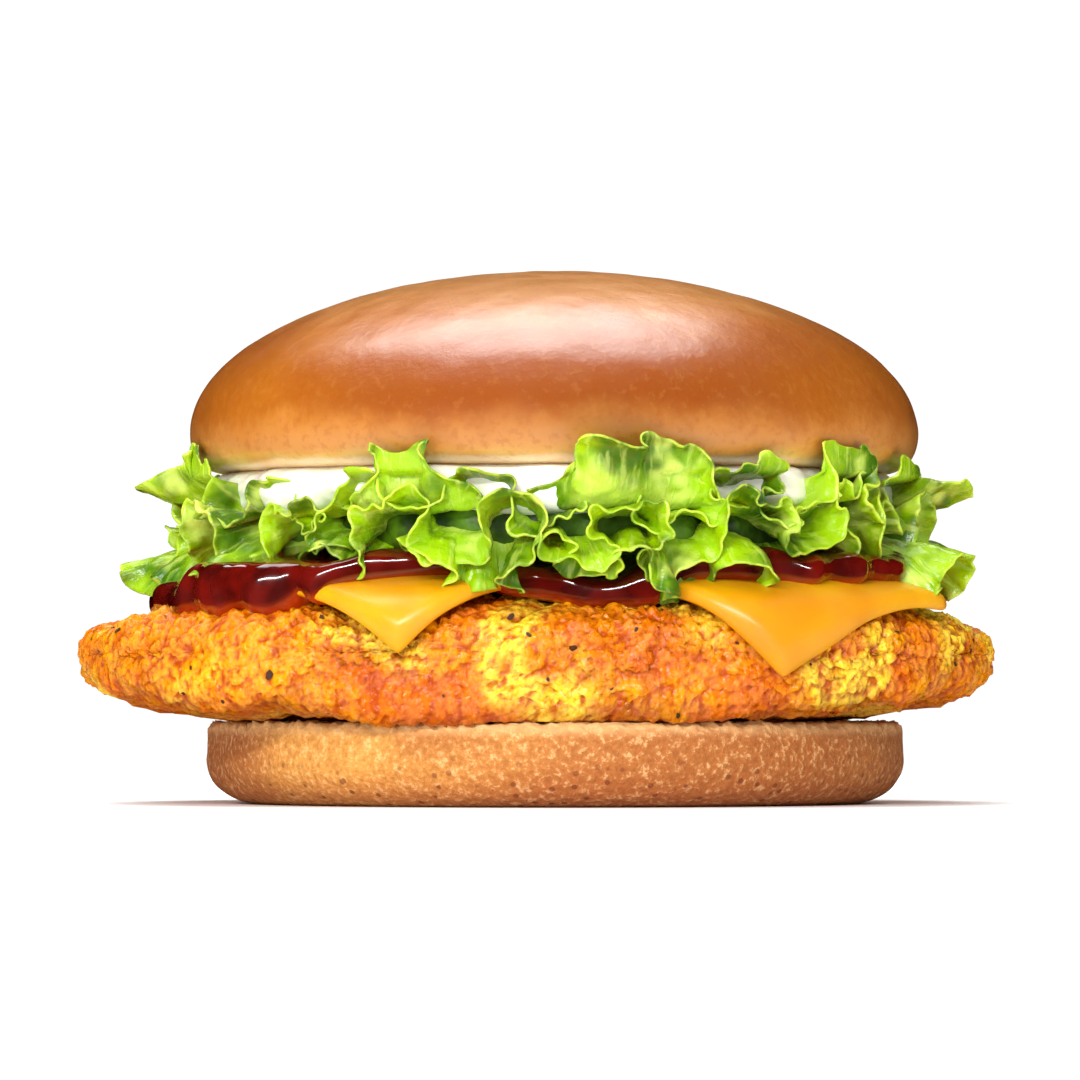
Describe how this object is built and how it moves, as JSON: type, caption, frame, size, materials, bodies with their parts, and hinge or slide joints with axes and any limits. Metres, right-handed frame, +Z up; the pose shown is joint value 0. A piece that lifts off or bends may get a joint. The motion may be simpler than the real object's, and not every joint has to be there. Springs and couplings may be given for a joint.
{
  "type": "chicken burger",
  "caption": "Fried chicken burger: domed bun, mayonnaise, curly lettuce, dark barbecue sauce, two cheese slices with hanging corners, and a long breaded fillet.",
  "frame": {"origin": "centre of the bun heel's flat underside", "axes": "+Z up through the stack, +X along the long fillet, the shown front faces -Y"},
  "size_m": [0.1371, 0.1241, 0.0795],
  "materials": {
    "bread": "matt pale brown baked bread with a fine grain and small pores",
    "glazed_crust": "satin golden-brown baked crust, paler towards its lower edge",
    "breading": "craggy fried crumb coating, orange-gold with darker hollows and pepper specks",
    "cheese": "smooth soft yellow-orange processed cheese with a satin sheen",
    "barbecue_sauce": "wet, glossy, dark red-brown sauce",
    "lettuce_leaf": "fresh curly yellow-green leaf with pale rims and a waxy sheen",
    "mayonnaise": "smooth creamy off-white sauce with a soft gloss"
  },
  "bodies": {
    "root": {"bun_heel": "bread", "chicken_fillet": "breading", "cheese_slice_left": "cheese", "cheese_slice_right": "cheese", "barbecue_sauce": "barbecue_sauce", "lettuce": "lettuce_leaf", "mayonnaise": "mayonnaise", "bun_crown": "glazed_crust"}
  },
  "joints": []
}
